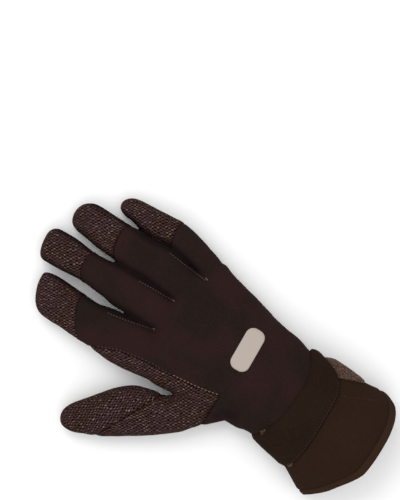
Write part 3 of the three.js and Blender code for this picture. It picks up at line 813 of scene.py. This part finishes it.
def grip_material(name, turn):
    """Coarse grip cloth: pinkish-brown threads around dark pits, with a few bright knots."""
    s = Shader(name)
    height = weave_height(s, turn)
    tone = {key: srgb(*colour) for key, colour in GRIP_TONES.items()}
    thread = s.blend(s.ramp(s.noise(60, 3), 0.35, 0.65), tone["thread"], tone["warm"])
    cloth = s.blend(s.ramp(height, 0.12, 0.62), tone["pit"], thread)
    knots = s.math("MULTIPLY", s.ramp(height, 0.6, 0.95), s.ramp(s.noise(520, 2), 0.45, 0.7))
    knotted = s.blend(knots, cloth, tone["knot"])
    # Painted shade: near a seam and in the creases the cloth blends towards the dark pit tone.
    in_seam = s.math("MULTIPLY", s.ramp(s.attribute("seam"), 1.2, 0.2), 0.6)
    seamed = s.blend(in_seam, knotted, tone["pit"])
    shaded = s.blend(s.attribute("shade"), seamed, tone["pit"])
    rough = s.math("ADD", height, s.math("MULTIPLY", s.noise(1400, 2), 0.3))
    return s.finish(shaded, 0.95, 0.0, s.bump(rough, 0.0006, 0.8))


def pile_material(name, base, tips):
    """Brushed loops."""
    s = Shader(name)
    height = s.noise(800, 5)
    colour = s.blend(s.ramp(height, 0.4, 0.7), srgb(*base), srgb(*tips))
    return s.finish(colour, 1.0, 0.05, s.bump(height, 0.0009, 1.0))


def plain_material(name, colour, roughness=0.7):
    """One tone with a little roughness."""
    s = Shader(name)
    return s.finish(srgb(*colour), roughness, 0.0, s.bump(s.noise(900, 2), 0.0002, 0.4))


HAND = neoprene_material("neoprene_hand", (31, 23, 20), (41, 25, 25))
CUFF = neoprene_material("neoprene_cuff", (39, 26, 17), (42, 27, 20), (34, 23, 16))
HEM = neoprene_material("neoprene_hem", (49, 34, 24), (47, 30, 21), (37, 25, 18))
STRAP = neoprene_material("strap_cloth", (32, 21, 13), (35, 23, 16), (46, 34, 26))
GRIP = grip_material("grip_cloth", 0.0)
GRIP_THUMB = grip_material("grip_cloth_thumb", THUMB_ANGLE)
PILE = pile_material("loop_pile", (60, 43, 36), (104, 82, 72))
FUZZ = pile_material("strap_fuzz", (84, 62, 50), (120, 96, 82))
THREAD = plain_material("thread_light", (132, 108, 98))
THREAD_DIM = plain_material("thread_dim", (84, 68, 64))
THREAD_TACK = plain_material("thread_tack", (104, 84, 78))
THREAD_FAINT = plain_material("thread_faint", (64, 50, 43))
PRINT = plain_material("print", (176, 164, 156), 0.6)

# Shaping the skin

v, f = glove_surface()
edges = edges_of(f)
v = smoothed(v, edges, 6)
v[:, 2] = 0.5 * (v[:, 2] + np.sqrt(v[:, 2] ** 2 + LIE_FLAT**2))
v = smoothed(v, edges, 3)


def ridge(points, start, stop, width, height):
    """A fold along a straight line of the plan, on the upper side."""
    a, b = np.array(start, float), np.array(stop, float)
    d = b - a
    t = np.clip(((points[:, :2] - a) @ d) / (d @ d), 0, 1)
    off = np.linalg.norm(points[:, :2] - (a + t[:, None] * d), axis=1)
    fade = np.sin(np.pi * np.clip(t, 0.02, 0.98)) ** 0.5
    return height * np.exp(-((off / width) ** 2)) * fade


# Folds and dents of the upper side: from, to, width and height
FOLDS = (
    ((26.5, -54.5), (31.5, -75.5), 2.2, 0.9),
    ((30.0, -56.0), (36.0, -80.0), 3.5, -0.9),
    ((12.0, -62.0), (4.0, -92.0), 5.0, 0.7),
    ((-22.0, -58.0), (-34.0, -80.0), 5.0, 0.8),
    ((-10.0, -60.0), (-18.0, -88.0), 4.5, -0.7),
    ((-31.0, 20.0), (-24.0, 1.0), 5.5, -3.2),
    ((-21.0, 22.0), (-17.0, -4.0), 5.0, 1.0),
    ((-36.0, 30.0), (-48.0, 44.0), 5.0, -0.9),
    ((30.0, -8.0), (40.0, 8.0), 5.0, 0.6),
    ((4.0, 6.0), (-8.0, 16.0), 6.0, 0.5),
    ((-40.0, 52.0), (-50.0, 66.0), 4.0, -0.8),
    ((-56.0, 74.0), (-44.0, 60.0), 3.0, 0.6),
)
n = normals_of(v, f)
upper = np.clip(n[:, 2] * 2.5, 0, 1)
push = np.zeros(len(v))
for start, stop, width, height in FOLDS:
    push += ridge(v, start, stop, width, height) * upper
# Soft unevenness: how fine and how high
for fineness, height in ((0.045, 0.55), (0.14, 0.22)):
    push += height * np.array([noise.noise(Vector(p) * fineness) for p in v])


def between_fingers(points):
    """How near a point is to the crease between two fingers, from 0 to 1."""
    near = np.zeros(len(points))
    y = points[:, 1]
    for left, right, _, _ in TOUCHING:
        edge = finger_centre(left, y) + finger_width(left, y) / 2
        other = finger_centre(right, y) - finger_width(right, y) / 2
        start = PALM_LENGTH - max(FINGERS[left]["start"], FINGERS[right]["start"])
        off = np.maximum(np.abs(points[:, 0] - (edge + other) / 2) - (other - edge) / 2, 0)
        beside = np.exp(-((off / CREASE_WIDTH) ** 2))
        near = np.maximum(near, beside * np.clip((y - start + 3) / 8, 0, 1))
    return near


push *= 1 - between_fingers(v)
mine = finger_of(v)
caps = {name: cap_value(name, v, mine[name]) for name in FINGERS}
values = list(caps.values()) + [thumb_value(v), end_value(v, HEM_WIDTH)]
grip, base = grip_value(v), base_value(v)
in_cap = np.max(list(caps.values()), axis=0) > SEAM_MARGIN
values.append(np.where(in_cap, NO_PIECE, grip))
values.append(np.where(in_cap | (grip < SEAM_MARGIN), NO_PIECE, base))
seam = np.min(np.abs(np.stack(values)), axis=0)
push -= GROOVE_DEPTH * np.exp(-((seam / GROOVE_WIDTH) ** 2))
push += WELT_HEIGHT * np.exp(-(((seam - WELT_PLACE) / WELT_WIDTH) ** 2))
v = v + n * push[:, None]
v[:, 2] = np.maximum(v[:, 2], LOWEST_OUTSIDE)
v = smoothed(v, edges, 1)
n = normals_of(v, f)

# Painted shade: the creases between the fingers and the hollow beside the thumb's root get a shade value,
# which darkens their colour where shade falls.
hollow = ridge(v, (-31.0, 20.0), (-24.0, 1.0), 6.0, 0.6)
shade = np.clip(between_fingers(v) * CREASE_SHADE + hollow, 0, 0.9)

skin = {"v": v, "f": f, "n": n, "seam": seam, "shade": shade}
skin, _ = split(skin, end_value(skin["v"], 0.0))
tree = BVHTree.FromPolygons([tuple(p) for p in skin["v"]], [tuple(t) for t in skin["f"].tolist()])

pieces = {}
rest = skin
for name in FINGERS:
    mine = finger_of(rest["v"])[name]
    cap, rest = split(rest, cap_value(name, rest["v"], mine))
    cap, loose = largest(cap)
    pieces[f"cap_{name}"] = cap
    rest = joined(rest, loose)
thumb, rest = split(rest, thumb_value(rest["v"]))
pieces["thumb_stall"], loose = largest(thumb)
rest = joined(rest, loose)
hand, gauntlet = split(rest, rest["v"][:, 1] + STRAP_SETBACK)
pieces["cuff"], pieces["cuff_hem"] = split(gauntlet, end_value(gauntlet["v"], HEM_WIDTH))
palm, back = split(hand, grip_value(hand["v"]))
pieces["back_panel"] = back
pieces["finger_base_panel"], pieces["palm_panel"] = split(palm, base_value(palm["v"]))

# Material and slot of the pieces that aren't plain grip cloth
LOOKS = {
    "cuff": (CUFF, "neoprene"),
    "cuff_hem": (HEM, "neoprene"),
    "back_panel": (HAND, "neoprene"),
    "finger_base_panel": (HAND, "neoprene"),
    "thumb_stall": (GRIP_THUMB, "grip_cloth"),
}
for name, part in pieces.items():
    material, slot = LOOKS.get(name, (GRIP, "grip_cloth"))
    made = thick_object(name + "_skin", part, material)
    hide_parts(name)
    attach(made, "root")

# The strap, the loop patch and the print


def band_point(y, turn, out):
    """A point off the palm and cuff, at a turn of 0 on the little finger's side and 90 on top."""
    return section_points(body_section(y), y, np.radians(turn), out)


def band(rows_of, turns, profile):
    """A closed band: rows_of gives (front, rear, base height), profile its (share, height)."""
    rings = []
    for turn in turns:
        front, rear, base = rows_of(turn)
        ring = []
        for share, height in profile:
            y = mix(front, rear, share)
            droop = (base - STRAP_SEATED) * max(0.0, 1 - (front - y) / STRAP_DROOP) ** 2
            ring.append(band_point(y, turn, base - droop + height))
        rings.append(ring)
    return loft(rings)


def strap_rows(turn):
    """Front edge, rear edge and height over the glove of the strap at a turn."""
    front, rear, lift = (float(column(STRAP_ROWS, k, turn, "turn")) for k in ("front", "rear", "lift"))
    return (
        -STRAP_SETBACK + front * STRAP_WIDTH,
        -STRAP_SETBACK + rear * STRAP_WIDTH,
        STRAP_CLEARANCE + min(1.0, max(0.0, lift)) * STRAP_LIFT,
    )


def edge_round(share):
    """Thins a band towards its two edges."""
    return 1 - EDGE_THINNER * math.exp(-min(share, 1 - share) / EDGE_REACH)


shares = np.linspace(0, 1, 13)
top_line = [(s, STRAP_THICKNESS * edge_round(s)) for s in shares]
strap_profile = top_line + [(s, 0.0) for s in shares[::-1]]
turns = np.arange(STRAP_TURNS[1], STRAP_TURNS[0] - 0.1, -TURN_STEP)
points, faces = band(strap_rows, turns, strap_profile)
strap = new_object("wrist_strap_skin", to_row(points), [face[::-1] for face in faces], STRAP)
# A faint line beside each edge
from_edge = [min(s, 1 - s) * STRAP_WIDTH for s, _ in strap_profile]
beside_edge = np.abs(np.array(from_edge * len(turns)) - LINE_PLACE) < LINE_REACH
float_attribute(strap.data, "seam", np.where(beside_edge, LINE_SEAM, NO_SEAM))
float_attribute(strap.data, "shade", np.zeros(len(points)))
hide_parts("wrist_strap")
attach(strap, "root")

# The loop patch, from under the palm to a slanted upper edge
LOOP_LOW_TURN = -56.25
LOOP_HIGH_TURNS = ((-68, -46, -30), (14, 41, 44))
front = -STRAP_SETBACK + LOOP_FRONT * STRAP_WIDTH
rings = []
for t in np.linspace(0, 1, 33):
    high, low = [], []
    for s in shares:
        y = mix(front, front - LOOP_LENGTH, s)
        turn = mix(LOOP_LOW_TURN, float(np.interp(y, *LOOP_HIGH_TURNS)), t)
        across = math.sin(math.pi * t)
        loose = LOOSE_HEIGHT * math.exp(-(((y - LOOSE_PLACE) / LOOSE_REACH) ** 2)) * across
        height = LOOP_THICKNESS * edge_round(s) + LOOP_BULGE * across * math.sin(math.pi * s) + loose
        high.append(band_point(y, turn, STRAP_CLEARANCE + height))
        low.append(band_point(y, turn, STRAP_CLEARANCE))
    rings.append(high + low[::-1])
points, faces = loft(rings)
patch = new_object("loop_patch_skin", to_row(points), faces, PILE)
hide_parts("loop_patch")
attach(patch, "root")

# Stitches

# A thread bar's shape: place along it, size and rise, as shares of its length and radius
BAR_RINGS = ((0, 0.35, -0.5), (0.15, 0.9, 0.0), (0.5, 1.0, 0.25), (0.85, 0.9, 0.0), (1, 0.35, -0.5))
BAR_SIDES = 6
BAR_SHORTEST = 0.2


def on_skin(x, y):
    """The point of the upper skin over (x, y) and its normal."""
    hit, normal, _, _ = tree.ray_cast(Vector((x, y, 90.0)), Vector((0, 0, -1)))
    return (np.array(hit), np.array(normal)) if hit else (None, None)


def bars(name, rows, material, radius=0.34):
    """Small rounded thread bars. rows holds (from, to, normal)."""
    sides, last = BAR_SIDES, len(BAR_RINGS) - 1
    points, faces = [], []
    for start, stop, normal in rows:
        axis = stop - start
        length = np.linalg.norm(axis)
        if length < BAR_SHORTEST:
            continue
        axis = axis / length
        across = np.cross(axis, normal)
        across /= np.linalg.norm(across)
        up = np.cross(across, axis)
        base = len(points)
        for share, size, rise in BAR_RINGS:
            middle = start + axis * length * share + normal * (radius * rise)
            for k in range(sides):
                a = math.tau * k / sides
                points.append(middle + (across * math.cos(a) + up * math.sin(a)) * radius * size)
        for r in range(last):
            this, after = base + r * sides, base + (r + 1) * sides
            for k in range(sides):
                m = (k + 1) % sides
                faces.append((this + k, this + m, after + m, after + k))
        faces.append(tuple(base + k for k in range(sides - 1, -1, -1)))
        faces.append(tuple(base + last * sides + k for k in range(sides)))
    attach(new_object(name, to_row(np.array(points)), faces, material), "root")


def stitches_along(path, length=1.9, gap=1.0):
    """Bars along a line of (point, normal)."""
    rows = []
    points = np.array([p for p, _ in path])
    normals = np.array([q for _, q in path])
    step = np.linalg.norm(np.diff(points, axis=0), axis=1)
    where = np.concatenate([[0], np.cumsum(step)])
    at = 0.5
    while at + length < where[-1]:
        ends = [np.array([np.interp(a, where, points[:, k]) for k in range(3)]) for a in (at, at + length)]
        normal = np.array([np.interp(at, where, normals[:, k]) for k in range(3)])
        rows.append((ends[0], ends[1], normal / np.linalg.norm(normal)))
        at += length + gap
    return rows


def seam_path(xs, ys):
    """Points and normals on the upper skin, where it is turned up and well off the table."""
    path = [on_skin(x, y) for x, y in zip(xs, ys)]
    return [(p, q) for p, q in path if p is not None and q[2] > 0.2 and p[2] > 11]


ys = np.linspace(TEXTURE_START + 1, 62, 60)
bars("strip_stitches", stitches_along(seam_path(strip_seam(ys) + 0.9, ys)), THREAD)
ys = np.linspace(62, 122, 90)
bars("strip_stitches_far", stitches_along(seam_path(strip_seam(ys) + 0.9, ys)), THREAD_DIM, 0.26)

# The side seams of the fingers show on the thumb side of each crease.
rows = []
for left, right, reach in (("index", "middle", 36), ("middle", "ring", 30), ("ring", "little", 34)):
    start = PALM_LENGTH - max(FINGERS[left]["start"], FINGERS[right]["start"])
    ys = np.linspace(start - 2, start + reach, 50)
    inset = np.interp(ys, (start - 2, start + reach), (0.6, 2.4))
    xs = finger_centre(left, ys) + finger_width(left, ys) / 2 - inset
    rows += stitches_along(seam_path(xs, ys), 1.6, 0.7)
bars("finger_seams", rows, THREAD_DIM, 0.32)

# Bar tacks at the ends of the creases and on the thumb's seam: middle and direction in the plan
TACKS = (
    ((52.3, 74.6), (0.35, 1.0), 3.0),
    ((26.0, 88.0), (0.3, 1.0), 2.4),
    ((0.2, 90.4), (-0.2, 1.0), 2.4),
    ((-73.4, 80.2), (-0.9, 0.3), 2.4),
    ((-66.2, 72.8), (-0.8, 0.5), 2.2),
    ((-48.5, 62.6), (0.9, 0.25), 2.4),
    ((-45.6, 64.6), (0.9, 0.2), 2.2),
)
rows = []
for (x, y), (dx, dy), length in TACKS:
    size = math.hypot(dx, dy)
    ends = [on_skin(x + k * dx / size * length / 2, y + k * dy / size * length / 2) for k in (-1, 1)]
    if ends[0][0] is not None and ends[1][0] is not None:
        rows.append((ends[0][0], ends[1][0], ends[0][1]))
bars("bar_tacks", rows, THREAD_TACK, 0.42)

# The stitched line along the strap's rear edge, and the one beside the loop patch
path = []
for turn in np.arange(48, 158, 2.0):
    _, rear, out = strap_rows(turn)
    point = band_point(rear + STRAP_STITCH, turn, out + STRAP_THICKNESS * 0.83)
    path.append((point, np.array((math.cos(math.radians(turn)), 0.0, math.sin(math.radians(turn))))))
bars("strap_stitches", stitches_along(path, 1.5, 0.9), THREAD_FAINT, 0.26)
beside_patch = np.linspace((27, -55), (38, -82), 40)
bars("patch_stitches", stitches_along(seam_path(*beside_patch.T), 1.3, 1.2), THREAD_FAINT, 0.24)

# Worn, fluffy spots on the thumb side: turn, and 0 at the strap's front edge or 1 at its rear edge
FLUFF = ((135, 0), (139, 0), (144, 1), (148, 1), (152, 1))
FLUFF_HAIRS = 26
rows = []
rng = np.random.default_rng(4)
for turn, edge in FLUFF:
    for _ in range(FLUFF_HAIRS):
        t = turn + rng.uniform(-3, 3)
        front, rear, out = strap_rows(t)
        y = (front, rear)[edge] + rng.uniform(-0.6, 0.6)
        start = band_point(y, t, out + 0.7)
        tip = start + rng.normal(0, 0.5, 3) + np.array((-0.2, (0.5, -0.5)[edge], 0.4))
        rows.append((start, tip, np.array((-0.6, 0.0, 0.8))))
bars("strap_fluff", rows, FUZZ, 0.2)


def name_print():
    """A blank rounded bar, laid on the skin."""
    wide, long = PRINT_WIDE / 2 - PRINT_CORNER, PRINT_LONG / 2 - PRINT_CORNER
    corners = []
    for cx, cy, start in ((1, 1, 0), (-1, 1, 90), (-1, -1, 180), (1, -1, 270)):
        for k in range(9):
            a = math.radians(start + k * 90 / 8)
            corners.append((cx * wide + PRINT_CORNER * math.cos(a), cy * long + PRINT_CORNER * math.sin(a)))
    closed = np.array(corners + corners[:1])
    where = np.concatenate([[0], np.cumsum(np.linalg.norm(np.diff(closed, axis=0), axis=1))])
    at = np.linspace(0, where[-1], PRINT_POINTS, endpoint=False)
    outline = np.stack([np.interp(at, where, closed[:, k]) for k in range(2)], 1)
    rings = [outline * s for s in np.linspace(0, 1, PRINT_RINGS + 1)[1:]]
    flat = np.concatenate([[(0.0, 0.0)]] + rings) + PRINT_PLACE
    top = np.array([on_skin(x, y)[0] + (0, 0, PRINT_THICKNESS) for x, y in flat])
    below = top - (0, 0, PRINT_THICKNESS + PRINT_SUNK)
    sides, size = PRINT_POINTS, len(top)
    faces = [(0, 1 + k, 1 + (k + 1) % sides) for k in range(sides)]
    last = 1 + (PRINT_RINGS - 1) * sides
    for ring in range(1, last, sides):
        for k in range(sides):
            m = (k + 1) % sides
            faces.append((ring + k, ring + sides + k, ring + sides + m, ring + m))
    faces += [tuple(i + size for i in face[::-1]) for face in faces]
    for k in range(sides):
        m = (k + 1) % sides
        faces.append((last + k, last + k + size, last + m + size, last + m))
    return new_object("name_patch_skin", to_row(np.concatenate([top, below])), faces, PRINT)


badge = name_print()
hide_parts("name_patch")
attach(badge, "root")

# The floor, the light and the camera
WORLD_LIGHT = 1.12
floor_material = plain_material("floor", (255, 255, 255), 0.9)
floor_corners = [(-3, -3, 0), (3, -3, 0), (3, 3, 0), (-3, 3, 0)]
floor = new_object("floor", floor_corners, [(0, 1, 2, 3)], floor_material, False)


def area_light(name, place, size, power):
    """A soft square light that points at the middle of the scene."""
    light = bpy.data.lights.new(name, "AREA")
    light.size = size
    light.energy = power
    made = bpy.data.objects.new(name, light)
    made.location = place
    made.rotation_euler = (-Vector(place)).to_track_quat("-Z", "Y").to_euler()
    bpy.context.scene.collection.objects.link(made)


area_light("key", (0.5, 0.9, 1.5), 1.0, 10)
area_light("fill", (-0.9, -0.5, 1.3), 1.4, 5)
world = bpy.data.worlds.new("studio")
world.use_nodes = True
world.node_tree.nodes["Background"].inputs["Color"].default_value = (1, 1, 1, 1)
world.node_tree.nodes["Background"].inputs["Strength"].default_value = WORLD_LIGHT
bpy.context.scene.world = world
bpy.context.scene.view_settings.view_transform = "Standard"

# The camera looks straight down, turned as in the photograph, with 0.75 mm to a pixel.
VIEW_MIDDLE = (0.0776, 0.0422, 0.018)
VIEW_HEIGHT = 0.375
CAMERA_HEIGHT = 1.6
CAMERA_TURN = math.radians(-60)
SENSOR = 36
camera = bpy.data.objects.new("camera", bpy.data.cameras.new("camera"))
camera.data.sensor_width = SENSOR
camera.data.lens = SENSOR * CAMERA_HEIGHT / VIEW_HEIGHT
camera.location = (VIEW_MIDDLE[0], VIEW_MIDDLE[1], VIEW_MIDDLE[2] + CAMERA_HEIGHT)
camera.rotation_euler = (0, 0, CAMERA_TURN)
bpy.context.scene.collection.objects.link(camera)
bpy.context.scene.camera = camera
